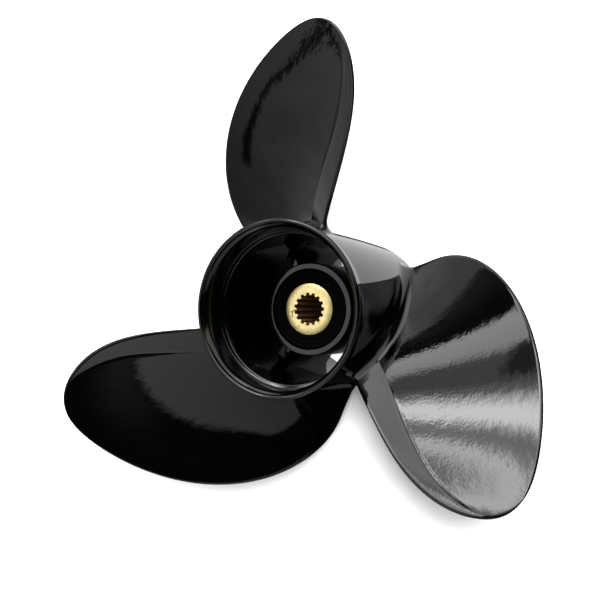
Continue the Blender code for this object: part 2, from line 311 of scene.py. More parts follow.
def deselect_all():
    """Leave edit mode and deselect every object."""
    if bpy.context.object and bpy.context.object.mode != "OBJECT":
        bpy.ops.object.mode_set(mode="OBJECT")
    bpy.ops.object.select_all(action="DESELECT")


def select_only(piece):
    """Select one object and make it the active one."""
    deselect_all()
    piece.select_set(True)
    bpy.context.view_layer.objects.active = piece


def arc(centre, radius, start, end, steps):
    """Return the points of an arc in the radius and height plane, in degrees."""
    angles = np.radians(np.linspace(start, end, steps + 1))
    return [(centre[0] + radius * math.cos(a), centre[1] + radius * math.sin(a)) for a in angles]


def close_mesh():
    """Merge the doubles of the mesh in edit mode, point its faces outwards and leave edit mode."""
    bpy.ops.mesh.select_all(action="SELECT")
    bpy.ops.mesh.remove_doubles(threshold=MERGE_DISTANCE)
    bpy.ops.mesh.normals_make_consistent(inside=False)
    bpy.ops.object.mode_set(mode="OBJECT")


def turn_outline(name, outline, segments):
    """Draw a closed outline of (radius, height) points vertex by vertex and spin it round Z."""
    deselect_all()
    bpy.ops.mesh.primitive_plane_add(size=0.001, location=(0, 0, 0))
    piece = bpy.context.object
    piece.name = name
    bpy.ops.object.mode_set(mode="EDIT")
    bpy.ops.mesh.select_all(action="SELECT")
    bpy.ops.mesh.merge(type="CENTER")
    bpy.ops.transform.translate(value=(outline[0][0], 0.0, outline[0][1]))
    for before, after in zip(outline, outline[1:]):
        step = (after[0] - before[0], 0.0, after[1] - before[1])
        bpy.ops.mesh.extrude_vertices_move(TRANSFORM_OT_translate={"value": step})
    shape = bmesh.from_edit_mesh(piece.data)
    for vert in shape.verts:
        vert.select = len(vert.link_edges) == 1
    shape.select_flush(True)
    bmesh.update_edit_mesh(piece.data)
    bpy.ops.mesh.edge_face_add()
    bpy.ops.mesh.select_all(action="SELECT")
    bpy.ops.mesh.spin(steps=segments, angle=math.tau, center=(0, 0, 0), axis=(0, 0, 1))
    close_mesh()
    return piece


def roll_rings(name, rings):
    """Roll a grid through closed rings of points and merge its seam."""
    count = len(rings[0])
    deselect_all()
    bpy.ops.mesh.primitive_grid_add(x_subdivisions=count, y_subdivisions=len(rings) - 1, size=1.0)
    piece = bpy.context.object
    piece.name = name
    for vert in piece.data.vertices:
        row, column = divmod(vert.index, count + 1)
        vert.co = Vector(rings[row][column % count])
    bpy.ops.object.mode_set(mode="EDIT")
    close_mesh()
    return piece


def turned_copies(piece, names, turn):
    """Copy a piece once for each name, each copy with its own mesh and one more turn round Z."""
    copies = []
    for number, name in enumerate(names, 1):
        select_only(piece)
        bpy.ops.object.duplicate(linked=False)
        copy = bpy.context.object
        copy.name = name
        copy.data.transform(Matrix.Rotation(number * turn, 4, "Z"))
        copies.append(copy)
    return copies


def finish_piece(piece, material, angle):
    """Shade a piece smooth up to an angle in degrees and give it its only material."""
    select_only(piece)
    bpy.ops.object.shade_smooth_by_angle(angle=math.radians(angle))
    piece.data.materials.clear()
    piece.data.materials.append(material)
    deselect_all()


def join_pieces(name, pieces):
    """Join pieces into the first one and name it."""
    select_only(pieces[0])
    for piece in pieces[1:]:
        piece.select_set(True)
    bpy.ops.object.join()
    pieces[0].name = name
    deselect_all()
    return pieces[0]


def barrel_radius(hub, height):
    """Return the radius of the outside of the barrel at a height, or an array of heights."""
    return hub.barrel_radius - hub.barrel_taper * (REAR_Z - height) ** 2


def below_rim(points):
    """Turn (radius, depth below the rear rim) points into (radius, height) points."""
    return [(radius, REAR_Z - depth) for radius, depth in points]


def outer_hub_outline(hub):
    """Return the outline of the barrel with its flared lip, its ledge and its front end."""
    corner_z = FRONT_Z + FRONT_ROUND
    outline = arc((barrel_radius(hub, corner_z) - FRONT_ROUND, corner_z), FRONT_ROUND, -90, 0, 6)
    heights = np.linspace(corner_z, REAR_Z - FLARE_START, 24)[1:]
    outline += [(barrel_radius(hub, height), height) for height in heights]
    outline += below_rim(FLARE)
    lip = hub.lip_round
    outline += arc((LIP_RADIUS - lip, REAR_Z - lip), lip, 0, 180, 14)
    outline += below_rim([(LIP_RADIUS - 2.0 * lip - LIP_FOOT[0], LIP_FOOT[1])])
    outline += below_rim(BELL_WALL)
    edge = hub.passage_radius
    ledge_z = REAR_Z - hub.ledge_depth
    outline += arc((edge + LEDGE_CORNER[0], ledge_z + LEDGE_CORNER[1]),
                   LEDGE_CORNER_ROUND, 0, -90, 4)
    outline += arc((edge + LEDGE_ROUND, ledge_z - LEDGE_ROUND), LEDGE_ROUND, 90, 180, 8)
    share = np.linspace(0.0, 1.0, 12)[1:]
    wall = edge + (hub.passage_front_radius - edge) * share
    depth = ledge_z - LEDGE_ROUND + (FRONT_Z - ledge_z + LEDGE_ROUND) * share
    outline += list(zip(wall, depth))
    return outline


def tube_outline():
    """Return the outline of the inner tube with its rounded ends and chamfered bore."""
    bore = RUBBER_RADIUS + TUBE_BORE_GAP
    low, high = TUBE_FRONT_ROUND, TUBE_REAR_ROUND
    outline = [(bore, TUBE_FRONT_Z)]
    outline += arc((TUBE_RADIUS - low, TUBE_FRONT_Z + low), low, -90, 0, 4)
    outline += arc((TUBE_RADIUS - high, TUBE_REAR_Z - high), high, 0, 90, 6)
    outline += [(bore + TUBE_BORE_CHAMFER, TUBE_REAR_Z), (bore, TUBE_REAR_Z - TUBE_BORE_CHAMFER)]
    return outline


def bushing_outline():
    """Return the outline of the rubber bushing with its rounded edges and pressed rings."""
    inner = SLEEVE_RADIUS + RUBBER_FIT
    outer = RUBBER_RADIUS + RUBBER_FIT
    front, rear = TUBE_FRONT_Z + RUBBER_FRONT_INSET, RUBBER_REAR_Z
    outside, inside = RUBBER_OUTER_ROUND, RUBBER_INNER_ROUND
    outline = [(inner, front), (outer, front)]
    outline += arc((outer - outside, rear - outside), outside, 0, 90, 4)
    for radius in RUBBER_RINGS:
        outline += [(radius + RING_HALF_WIDTH, rear), (radius, rear - RING_DEPTH),
                    (radius - RING_HALF_WIDTH, rear)]
    outline += arc((inner + inside, rear - inside), inside, 90, 180, 4)
    return outline


def make_rib(hub):
    """Model the first web as a block whose rear end slopes forward to the passage wall."""
    inner = TUBE_RADIUS - RIB_INTO_TUBE
    outer = hub.passage_radius - RIB_BELOW_LEDGE
    size = Vector((outer - inner, hub.rib_thickness, RIB_REAR_Z - RIB_FRONT_Z))
    middle = Vector(((inner + outer) / 2, 0.0, (RIB_REAR_Z + RIB_FRONT_Z) / 2))
    deselect_all()
    bpy.ops.mesh.primitive_cube_add(size=1.0, location=middle, scale=size)
    rib = bpy.context.object
    bpy.ops.object.transform_apply(location=True, rotation=False, scale=True)
    bpy.ops.object.mode_set(mode="EDIT")
    bpy.ops.mesh.select_all(action="SELECT")
    bpy.ops.mesh.bisect(plane_co=(hub.rib_shoulder, 0.0, 0.0), plane_no=(1.0, 0.0, 0.0))
    bpy.ops.mesh.select_all(action="DESELECT")
    shape = bmesh.from_edit_mesh(rib.data)
    for vert in shape.verts:
        vert.select = vert.co.x > outer - NEARLY and vert.co.z > middle.z
    shape.select_flush(True)
    bmesh.update_edit_mesh(rib.data)
    bpy.ops.transform.translate(value=(0.0, 0.0, -hub.rib_drop))
    shape = bmesh.from_edit_mesh(rib.data)
    for edge in shape.edges:
        ends = [vert.co for vert in edge.verts]
        across = abs(ends[0].x - ends[1].x) < NEARLY
        within = inner + NEARLY < ends[0].x < outer - NEARLY
        edge.select = min(end.z for end in ends) > middle.z and (within or not across)
    bmesh.update_edit_mesh(rib.data)
    bpy.ops.mesh.bevel(offset=RIB_BEVEL, segments=4)
    bpy.ops.object.mode_set(mode="OBJECT")
    rib.data.transform(Matrix.Rotation(hub.first_rib_angle, 4, "Z"))
    return rib


def edge_curves():
    """Fit the blade's middle angle and half width to the root of what is left to the tip."""
    q = np.sqrt([1.0 - station[0] for station in BLADE_STATIONS])
    middle = np.array([(station[1] + station[2]) / 2 - TIP_ANGLE for station in BLADE_STATIONS])
    half = np.array([(station[2] - station[1]) / 2 for station in BLADE_STATIONS])
    return np.polyfit(q, middle / q, 4), np.polyfit(q, half / q, 4)


MIDDLE_CURVE, HALF_CURVE = edge_curves()


def edge_angles(blade, radius):
    """Return the angles of the trailing and the leading edge at a radius."""
    q = math.sqrt(max(1.0 - radius / blade.tip_radius, 0.0))
    middle = TIP_ANGLE + q * np.polyval(MIDDLE_CURVE, q)
    half = q * np.polyval(HALF_CURVE, q)
    return math.radians(middle - half), math.radians(middle + half)


def face_height(blade, radius, angle):
    """Return the height of the rear face of the first blade at a radius and an angle."""
    share = radius / blade.tip_radius - REFERENCE_FRACTION
    turn = angle - math.radians(REFERENCE_ANGLE)
    rake = blade.tip_radius * (blade.rake_slope * share - blade.rake_curve * share ** 2)
    pitch = blade.pitch - blade.pitch_fall * share ** 2
    helix = pitch / math.tau * (turn + blade.camber * turn ** 2)
    return REAR_Z - blade.datum_depth + rake - helix


def face_slopes(blade, radius, angle, step):
    """Return how fast the rear face rises with the angle and with the radius."""
    ahead, behind = (face_height(blade, radius, angle + side * step) for side in (1, -1))
    outer, inner = (face_height(blade, radius + side * step, angle) for side in (1, -1))
    return (ahead - behind) / (2 * step), (outer - inner) / (2 * step)


def crease_distance(blade, radius):
    """Return the distance of the crease from the trailing edge."""
    left = max(STRIP_END - radius / blade.tip_radius, 0.0)
    return max(blade.cup_width * (left / STRIP_RUN) ** STRIP_POWER, STRIP_LEAST)


def cup_depth(blade, radius, distance):
    """Return how far the face dips beside the crease of the cupped strip."""
    width = crease_distance(blade, radius)
    inside = np.clip(distance / width, 0.0, 1.0) ** DIP_POWER
    outside = np.exp(-np.maximum(distance - width, 0.0) / (DIP_REACH * width))
    dip = blade.cup_dip * min(width / blade.cup_width, 1.0) * inside * outside
    line = np.clip(1.0 - np.abs(distance - width) / blade.crease_width, 0.0, 1.0)
    fade = min(max((width - LINE_LEAST) / LINE_LEAST, 0.0), 1.0)
    fade *= min(max((radius - LINE_START) / LINE_FADE, 0.0), 1.0)
    return dip + blade.crease_depth * fade * line ** 2 * (3.0 - 2.0 * line)


def blade_depth(blade, hub, radius, share, lean):
    """Return the depth along the shaft over the chord, from the normal's lean at each point."""
    root = hub.barrel_radius
    left = np.clip((blade.tip_radius - radius) / (blade.tip_radius - root), 0.0, 1.0)
    swell = (blade.root_thickness - blade.tip_thickness) * left ** SWELL_POWER
    middle = blade.tip_thickness + swell
    near = np.clip((THICK_EDGE_RADIUS - radius) / (THICK_EDGE_RADIUS - root), 0.0, 1.0)
    root_edge = ROOT_EDGES[0] + ROOT_EDGES[1] * share
    edge = blade.edge_thickness + (root_edge - blade.edge_thickness) * near
    return edge + (middle / lean - edge) * 4.0 * share * (1.0 - share)


def chord_distances(blade, chord, radius):
    """Return distances from the trailing edge: close at the corners and at the crease."""
    corner = min(blade.corner_round, CORNER_LIMIT * chord)
    wide = corner * blade.corner_stretch
    ends = wide * (1.0 - np.cos(np.radians(np.linspace(0.0, 90.0, CORNER_STEPS + 1))))
    crease = max(crease_distance(blade, radius), STRIP_OVER_CORNER * wide)
    crease = min(crease, STRIP_LIMIT * chord)
    half = min(blade.crease_width, CORNER_LIMIT * (crease - wide))
    strip = np.linspace(wide, crease - half, STRIP_STEPS + 1)[1:]
    line = np.linspace(crease - half, crease + half, LINE_STEPS + 1)[1:]
    face = np.linspace(crease + half, chord - wide, FACE_STEPS + 1)[1:]
    return np.concatenate([ends, strip, line, face, chord - ends[::-1][1:]]), corner


def blade_loop(blade, hub, radius, grow):
    """Return one closed section loop as an array of points, grown sideways by the fillet."""
    trailing, leading = edge_angles(blade, radius)
    near_root = max(1.0 - (radius - hub.barrel_radius) / SWEEP_RUN, 0.0)
    leading += blade.root_sweep * near_root ** 2
    slope = face_slopes(blade, radius, (trailing + leading) / 2, 1e-2)[0]
    chord = (leading - trailing) * math.hypot(radius, slope)
    distance, corner = chord_distances(blade, chord, radius)
    share = distance / chord
    angle = trailing + (leading - trailing) * share
    height = face_height(blade, radius, angle) - cup_depth(blade, radius, distance)
    around, outward = face_slopes(blade, radius, angle, 1e-4)
    lean = 1.0 / np.sqrt(1.0 + outward ** 2 + (around / radius) ** 2)
    near_edge = np.minimum(distance, chord - distance) / blade.corner_stretch
    drop = corner ** 2 - np.maximum(corner - near_edge, 0.0) ** 2
    inset = corner - np.sqrt(np.maximum(drop, 0.0))
    depth = blade_depth(blade, hub, radius, share, lean)
    rear = np.stack([angle * radius, height - inset])
    front = np.stack([angle * radius, height - depth + inset])
    points = np.concatenate([rear, front[:, ::-1]], axis=1)
    along = np.roll(points, -1, axis=1) - np.roll(points, 1, axis=1)
    along /= np.maximum(np.linalg.norm(along, axis=0), 1e-9)
    return points + grow * np.stack([-along[1], along[0]])


def close_ring(ring):
    """Return a ring whose facing points meet half way, which closes the end of the blade."""
    return (ring + ring[::-1]) / 2


def blade_rings(blade, hub):
    """Return the rings of points of the first blade, from inside the barrel to its tip."""
    fillet = blade.fillet_radius
    rises = [(-ROOT_SINK, fillet)]
    for turn in np.radians(np.linspace(0.0, 90.0, FILLET_STEPS + 1)):
        rises.append((fillet * (1.0 - math.cos(turn)), fillet * (1.0 - math.sin(turn))))
    root = hub.barrel_radius
    first_q = math.sqrt(1.0 - (root + fillet) / blade.tip_radius)
    for q in np.linspace(first_q, TIP_LEFT, SPAN_STEPS + 1)[1:]:
        rises.append((blade.tip_radius * (1.0 - q ** 2) - root, 0.0))
    rings = []
    for rise, grow in rises:
        outside = root + max(rise, 0.0)
        points = blade_loop(blade, hub, outside, grow)
        turn = points[0] / outside
        drop = root - barrel_radius(hub, points[1])
        near = np.clip(1.0 - rise / TAPER_RUN, 0.0, 1.0)
        radius = root + rise - drop * near
        rings.append(np.stack([radius * np.cos(turn), radius * np.sin(turn), points[1]], axis=1))
    return [close_ring(rings[0])] + rings + [close_ring(rings[-1])]


def sleeve_ring(height, plain_radius=None):
    """Return a ring at one height: the splined bore, or a plain circle with the same points."""
    points = []
    for tooth in range(TOOTH_COUNT):
        for share, radius in TOOTH_OUTLINE:
            angle = math.tau * (tooth + share) / TOOTH_COUNT
            reach = plain_radius or radius
            points.append((reach * math.cos(angle), reach * math.sin(angle), height))
    return points


def make_sleeve():
    """Wrap a grid from the chamfered outside of the sleeve into its splined bore."""
    outer, rear, front = SLEEVE_RADIUS, SLEEVE_REAR_Z, SLEEVE_FRONT_Z
    rows = (
        (front, outer - SLEEVE_FRONT_CHAMFER), (front + SLEEVE_FRONT_CHAMFER, outer),
        (rear - SLEEVE_REAR_CHAMFER, outer), (rear - SLEEVE_REAR_ROUND, outer - SLEEVE_REAR_ROUND),
        (rear, outer - SLEEVE_REAR_CHAMFER), (rear, BORE_MOUTH_RADIUS),
        (rear,), (rear - BORE_MOUTH_DEPTH,), (front,), (front, outer - SLEEVE_FRONT_CHAMFER))
    return roll_rings("splined_sleeve_brass", [sleeve_ring(*row) for row in rows])


# Grain of each finish: scale, detail and roughness of the noise, and the span of its mask
PAINT_DUST = (45.0, 5.0, 0.6, 0.45, 0.8)
PAINT_HAZE = (30.0, 4.0, 0.5, 0.3, 0.7)
PAINT_PEEL = (620.0, 1.0)
PAINT_WAVES = (150.0, 1.5)
RUBBER_BLOOM = (160.0, 4.0, 0.5, 0.4, 0.8)
RUBBER_WEAR = (300.0, 3.0, 0.5, 0.3, 0.7)
RUBBER_PORES = (900.0, 3.0)
BRASS_MOTTLE = (420.0, 5.0, 0.65, 0.35, 0.7)
BRASS_WEAR = (400.0, 4.0, 0.5, 0.3, 0.7)
BRASS_PITS = (700.0, 4.0)
CRACKED_PLACES = (150.0, 2.0)
# Strength and distance of each bump
PEEL_BUMP = (0.16, 0.00012)
WAVE_BUMP = (0.06, 0.00060)
PORE_BUMP = (0.3, 0.0001)
PIT_BUMP = (0.35, 0.0002)
CRACK_BUMP = (0.6, -0.0002)
# Orange peel: least and most height, and where along X it grows and fades
PEEL_HEIGHTS = (0.45, 1.25)
PEEL_GROWS = (0.030, 0.055)
PEEL_FADES = (0.135, 0.085)
# Radius at which the inside of the hub begins, and the bell in it, with their roughness
INSIDE_EDGE = (0.0500, 0.0494)
BELL_EDGE = (0.0467, 0.0471)
OUTSIDE_ROUGHNESS = (0.02, 0.05)
PASSAGE_ROUGHNESS = 0.09
BELL_ROUGHNESS = 0.12
RUBBER_ROUGHNESS = (0.5, 0.7)
BRASS_ROUGHNESS = (0.28, 0.38)
BORE_ROUGHNESS = 0.34
BORE_METAL = 0.25
# Dust and bloom: how much lighter they are than the colour under them
DUST_GAIN = 2.0
DUST_ADDED = 0.0003
BLOOM_GAIN = 2.5
# Brass: mottle tint, crack colour, the bore's painted shade and lit tooth tips, and where they lie
MOTTLE_TINT = (0.86, 0.74, 0.52)
CRACK_COLOUR = (0.16, 0.09, 0.03)
BORE_SHADE_COLOUR = (0.22, 0.105, 0.040)
TOOTH_TIP_LIT_COLOUR = (0.60, 0.37, 0.16)
WANDER_SCALE = 260.0
CRACK_WANDER = 0.004
CRACK_SCALE = 120.0
CRACK_WIDTH = (0.045, 0.015)
CRACKED_SPAN = (0.52, 0.60)
BORE_RADIUS = (0.01062, 0.01040)
BORE_TOP = (SLEEVE_REAR_Z - 0.0001, SLEEVE_REAR_Z - 0.0006)
TOOTH_TIP_RADIUS = (0.0099, 0.0091)
# Glowing card under the hub: painted shade in reflections, a painted reflection at its ends by |Y|,
# and painted lit floor to the camera
CARD_ENDS = (0.025, 0.029)
CARD_MIDDLE_SHADE_GLOW = (0.06, 0.06, 0.06)
CARD_END_REFLECTION_GLOW = (0.65, 0.65, 0.65)
CARD_SEEN_FLOOR_GLOW = (0.98, 0.98, 0.98)


def set_socket(tree, socket, value):
    """Feed a socket from another socket or with a number."""
    if isinstance(value, bpy.types.NodeSocket):
        tree.links.new(value, socket)
    else:
        socket.default_value = value


def calculate(tree, operation, *values):
    """Add a math node over sockets or numbers and return its output."""
    node = tree.nodes.new("ShaderNodeMath")
    node.operation = operation
    for socket, value in zip(node.inputs, values):
        set_socket(tree, socket, value)
    return node.outputs["Value"]


def times(tree, *factors):
    """Multiply several masks or brightness values."""
    product = factors[0]
    for factor in factors[1:]:
        product = calculate(tree, "MULTIPLY", product, factor)
    return product


def length_of(tree, first, second, least=0.0):
    """Return the length of two sides at right angles."""
    rest = calculate(tree, "MULTIPLY_ADD", second, second, least)
    return calculate(tree, "SQRT", calculate(tree, "MULTIPLY_ADD", first, first, rest))


def split_axes(tree, place):
    """Return the three axes of a position or a direction."""
    axes = tree.nodes.new("ShaderNodeSeparateXYZ")
    tree.links.new(place, axes.inputs["Vector"])
    return axes.outputs


def add_range(tree, value, low, high, kind="LINEAR"):
    """Return a ramp from 0 at low to 1 at high, clamped."""
    node = tree.nodes.new("ShaderNodeMapRange")
    node.interpolation_type = kind
    node.inputs["From Min"].default_value = low
    node.inputs["From Max"].default_value = high
    tree.links.new(value, node.inputs["Value"])
    return node.outputs["Result"]


def smooth_step(tree, value, low, high):
    """Return a smooth ramp from 0 at low to 1 at high."""
    return add_range(tree, value, low, high, "SMOOTHSTEP")


def blend_values(tree, mask, below, above):
    """Mix two values by a mask."""
    node = tree.nodes.new("ShaderNodeMix")
    tree.links.new(mask, node.inputs["Factor"])
    set_socket(tree, node.inputs["A"], below)
    set_socket(tree, node.inputs["B"], above)
    return node.outputs["Result"]


def mix_colours(tree, mask, below, above):
    """Mix two colours, given as sockets or as (red, green, blue), by a mask."""
    node = tree.nodes.new("ShaderNodeMix")
    node.data_type = "RGBA"
    tree.links.new(mask, node.inputs["Factor"])
    for name, value in (("A", below), ("B", above)):
        socket = [item for item in node.inputs if item.name == name and item.type == "RGBA"][0]
        plain_colour = not isinstance(value, bpy.types.NodeSocket)
        set_socket(tree, socket, (*value, 1.0) if plain_colour else value)
    return [item for item in node.outputs if item.type == "RGBA"][0]


def add_noise(tree, place, scale, detail=2.0):
    """Add a noise texture."""
    noise = tree.nodes.new("ShaderNodeTexNoise")
    noise.inputs["Scale"].default_value = scale
    noise.inputs["Detail"].default_value = detail
    tree.links.new(place, noise.inputs["Vector"])
    return noise


def add_bump(tree, height, strength, distance, before=None):
    """Add a bump node fed by a height and return its normal."""
    bump = tree.nodes.new("ShaderNodeBump")
    bump.inputs["Strength"].default_value = strength
    bump.inputs["Distance"].default_value = distance
    tree.links.new(height, bump.inputs["Height"])
    if before is not None:
        tree.links.new(before, bump.inputs["Normal"])
    return bump.outputs["Normal"]


def make_grain_group():
    """Build the uneven grain that every finish uses: a height for bumps and a mask."""
    group = bpy.data.node_groups.new("uneven_grain", "ShaderNodeTree")
    sockets = group.interface
    sockets.new_socket("Place", in_out="INPUT", socket_type="NodeSocketVector")
    for name in ("Scale", "Detail", "Roughness", "Mask Low", "Mask High"):
        sockets.new_socket(name, in_out="INPUT", socket_type="NodeSocketFloat")
    for name in ("Height", "Mask"):
        sockets.new_socket(name, in_out="OUTPUT", socket_type="NodeSocketFloat")
    given = group.nodes.new("NodeGroupInput").outputs
    result = group.nodes.new("NodeGroupOutput").inputs
    noise = group.nodes.new("ShaderNodeTexNoise")
    spread = group.nodes.new("ShaderNodeMapRange")
    for start, end in (
        (given["Place"], noise.inputs["Vector"]), (given["Scale"], noise.inputs["Scale"]),
        (given["Detail"], noise.inputs["Detail"]), (given["Roughness"], noise.inputs["Roughness"]),
        (given["Mask Low"], spread.inputs["From Min"]),
        (given["Mask High"], spread.inputs["From Max"]),
        (noise.outputs["Fac"], spread.inputs["Value"]),
        (noise.outputs["Fac"], result["Height"]), (spread.outputs["Result"], result["Mask"]),
    ):
        group.links.new(start, end)


def add_grain(tree, place, scale, detail, roughness=0.5, low=0.0, high=1.0):
    """Place the grain group in a material with its own values and return its outputs."""
    node = tree.nodes.new("ShaderNodeGroup")
    node.node_tree = bpy.data.node_groups["uneven_grain"]
    tree.links.new(place, node.inputs["Place"])
    values = {"Scale": scale, "Detail": detail, "Roughness": roughness,
              "Mask Low": low, "Mask High": high}
    for name, value in values.items():
        node.inputs[name].default_value = value
    return node.outputs


def new_material(name):
    """Return the node tree and the shader of a fresh material."""
    material = bpy.data.materials.new(name)
    material.use_nodes = True
    return material.node_tree, material.node_tree.nodes["Principled BSDF"]


def object_place(tree):
    """Return the Object coordinates of a material."""
    return tree.nodes.new("ShaderNodeTexCoord").outputs["Object"]


def paint_material(finishes, hub):
    """Gloss black paint with dust and orange peel, a little duller inside the hub."""
    tree, shader = new_material("gloss_black_paint")
    place = object_place(tree)
    east, north, height = split_axes(tree, place)
    dust = add_grain(tree, place, *PAINT_DUST)["Mask"]
    dusty = tuple(value * DUST_GAIN + DUST_ADDED for value in finishes.paint)
    colour = mix_colours(tree, dust, tuple(finishes.paint), dusty)
    tree.links.new(colour, shader.inputs["Base Color"])
    shader.inputs["IOR"].default_value = 1.5
    heavy = times(tree, smooth_step(tree, east, *PEEL_GROWS), smooth_step(tree, east, *PEEL_FADES))
    peel = times(tree, add_grain(tree, place, *PAINT_PEEL)["Height"],
                 blend_values(tree, heavy, *PEEL_HEIGHTS))
    waves = add_grain(tree, place, *PAINT_WAVES)["Height"]
    normal = add_bump(tree, waves, *WAVE_BUMP, add_bump(tree, peel, *PEEL_BUMP))
    tree.links.new(normal, shader.inputs["Normal"])
    # Radius with the barrel's taper taken out, so that one edge divides outside from inside
    depth = calculate(tree, "SUBTRACT", REAR_Z, height)
    outside = calculate(tree, "MULTIPLY_ADD", times(tree, depth, depth), hub.barrel_taper,
                        length_of(tree, east, north))
    inside = smooth_step(tree, outside, *INSIDE_EDGE)
    haze = blend_values(tree, add_grain(tree, place, *PAINT_HAZE)["Mask"], *OUTSIDE_ROUGHNESS)
    bell = times(tree, inside, smooth_step(tree, outside, *BELL_EDGE))
    dull = blend_values(tree, bell, PASSAGE_ROUGHNESS, BELL_ROUGHNESS)
    tree.links.new(blend_values(tree, inside, haze, dull), shader.inputs["Roughness"])


def rubber_material(finishes):
    """Matt black moulded rubber with a faint bloom and fine pores."""
    tree, shader = new_material("moulded_rubber")
    place = object_place(tree)
    bloom = add_grain(tree, place, *RUBBER_BLOOM)["Mask"]
    light = tuple(value * BLOOM_GAIN for value in finishes.rubber)
    colour = mix_colours(tree, bloom, tuple(finishes.rubber), light)
    tree.links.new(colour, shader.inputs["Base Color"])
    shader.inputs["Specular IOR Level"].default_value = 0.03
    wear = add_grain(tree, place, *RUBBER_WEAR)["Mask"]
    tree.links.new(blend_values(tree, wear, *RUBBER_ROUGHNESS), shader.inputs["Roughness"])
    pores = add_grain(tree, place, *RUBBER_PORES)["Height"]
    tree.links.new(add_bump(tree, pores, *PORE_BUMP), shader.inputs["Normal"])


def brass_cracks(tree, place):
    """Return a mask of fine wandering cracks in places."""
    shifted = tree.nodes.new("ShaderNodeVectorMath")
    shifted.operation = "MULTIPLY_ADD"
    tree.links.new(add_noise(tree, place, WANDER_SCALE).outputs["Color"], shifted.inputs[0])
    shifted.inputs[1].default_value = (CRACK_WANDER,) * 3
    tree.links.new(place, shifted.inputs[2])
    cells = tree.nodes.new("ShaderNodeTexVoronoi")
    cells.feature = "DISTANCE_TO_EDGE"
    cells.inputs["Scale"].default_value = CRACK_SCALE
    tree.links.new(shifted.outputs["Vector"], cells.inputs["Vector"])
    places = add_grain(tree, place, *CRACKED_PLACES)["Height"]
    return times(tree, smooth_step(tree, cells.outputs["Distance"], *CRACK_WIDTH),
                 smooth_step(tree, places, *CRACKED_SPAN))


def brass_material(finishes):
    """Pale brass: mottled end face with fine cracks; painted shade in the bore, painted lit tooth
    tips.
    """
    tree, shader = new_material("pale_brass")
    place = object_place(tree)
    east, north, height = split_axes(tree, place)
    radius = length_of(tree, east, north)
    mottle = add_grain(tree, place, *BRASS_MOTTLE)["Mask"]
    deep = tuple(value * tint for value, tint in zip(finishes.brass, MOTTLE_TINT))
    cracks = brass_cracks(tree, place)
    # Painted shade: below the end face the bore is painted dark brown, its tooth tips painted
    # lighter as lit edges
    bore = times(tree, smooth_step(tree, radius, *BORE_RADIUS),
                 smooth_step(tree, height, *BORE_TOP))
    tips = smooth_step(tree, radius, *TOOTH_TIP_RADIUS)
    dark = mix_colours(tree, tips, BORE_SHADE_COLOUR, TOOTH_TIP_LIT_COLOUR)
    colour = mix_colours(tree, mottle, tuple(finishes.brass), deep)
    colour = mix_colours(tree, cracks, colour, CRACK_COLOUR)
    colour = mix_colours(tree, bore, colour, dark)
    tree.links.new(colour, shader.inputs["Base Color"])
    tree.links.new(blend_values(tree, bore, 1.0, BORE_METAL), shader.inputs["Metallic"])
    rough = blend_values(tree, add_grain(tree, place, *BRASS_WEAR)["Mask"], *BRASS_ROUGHNESS)
    rough = blend_values(tree, bore, rough, BORE_ROUGHNESS)
    tree.links.new(rough, shader.inputs["Roughness"])
    pits = add_bump(tree, add_grain(tree, place, *BRASS_PITS)["Height"], *PIT_BUMP)
    tree.links.new(add_bump(tree, cracks, *CRACK_BUMP, pits), shader.inputs["Normal"])


def floor_material(finishes):
    """Matt pale floor."""
    shader = new_material("pale_floor")[1]
    shader.inputs["Base Color"].default_value = (*finishes.floor, 1.0)
    shader.inputs["Roughness"].default_value = 0.8
    shader.inputs["Specular IOR Level"].default_value = 0.1


def card_material():
    """Glowing card under the hub: painted shade and a painted reflection in the exhaust passages,
    and painted lit floor seen through them.
    """
    tree, shader = new_material("under_card")
    shader.inputs["Base Color"].default_value = (0.0, 0.0, 0.0, 1.0)
    shader.inputs["Specular IOR Level"].default_value = 0.0
    shader.inputs["Emission Strength"].default_value = 1.0
    north = split_axes(tree, object_place(tree))[1]
    ends = smooth_step(tree, calculate(tree, "ABSOLUTE", north), *CARD_ENDS)
    path = tree.nodes.new("ShaderNodeLightPath")
    colour = mix_colours(tree, ends, CARD_MIDDLE_SHADE_GLOW, CARD_END_REFLECTION_GLOW)
    colour = mix_colours(tree, path.outputs["Is Camera Ray"], colour, CARD_SEEN_FLOOR_GLOW)
    tree.links.new(colour, shader.inputs["Emission Color"])


class PROPELLER_OT_finishes(bpy.types.Operator):
    """Make the paint, rubber, brass and floor materials"""

    bl_idname = "propeller.finishes"
    bl_label = "Finishes"

    def execute(self, context):
        finishes = context.scene.propeller_finishes
        make_grain_group()
        paint_material(finishes, context.scene.propeller_hub)
        rubber_material(finishes)
        brass_material(finishes)
        floor_material(finishes)
        card_material()
        return {"FINISHED"}


class PROPELLER_OT_hub(bpy.types.Operator):
    """Model the barrel, the inner tube and the ribs of the casting"""

    bl_idname = "propeller.hub"
    bl_label = "Hub"

    def execute(self, context):
        hub = context.scene.propeller_hub
        shell = turn_outline("barrel", outer_hub_outline(hub), hub.segments)
        tube = turn_outline("tube", tube_outline(), hub.segments)
        rib = make_rib(hub)
        ribs = [rib] + turned_copies(rib, ("web_2", "web_3"), math.tau / BLADE_COUNT)
        piece = join_pieces("hub_painted", [shell, tube] + ribs)
        finish_piece(piece, bpy.data.materials["gloss_black_paint"], 32.0)
        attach(piece, "root")
        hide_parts("outer_hub", "inner_hub", "rib_1", "rib_2", "rib_3")
        return {"FINISHED"}


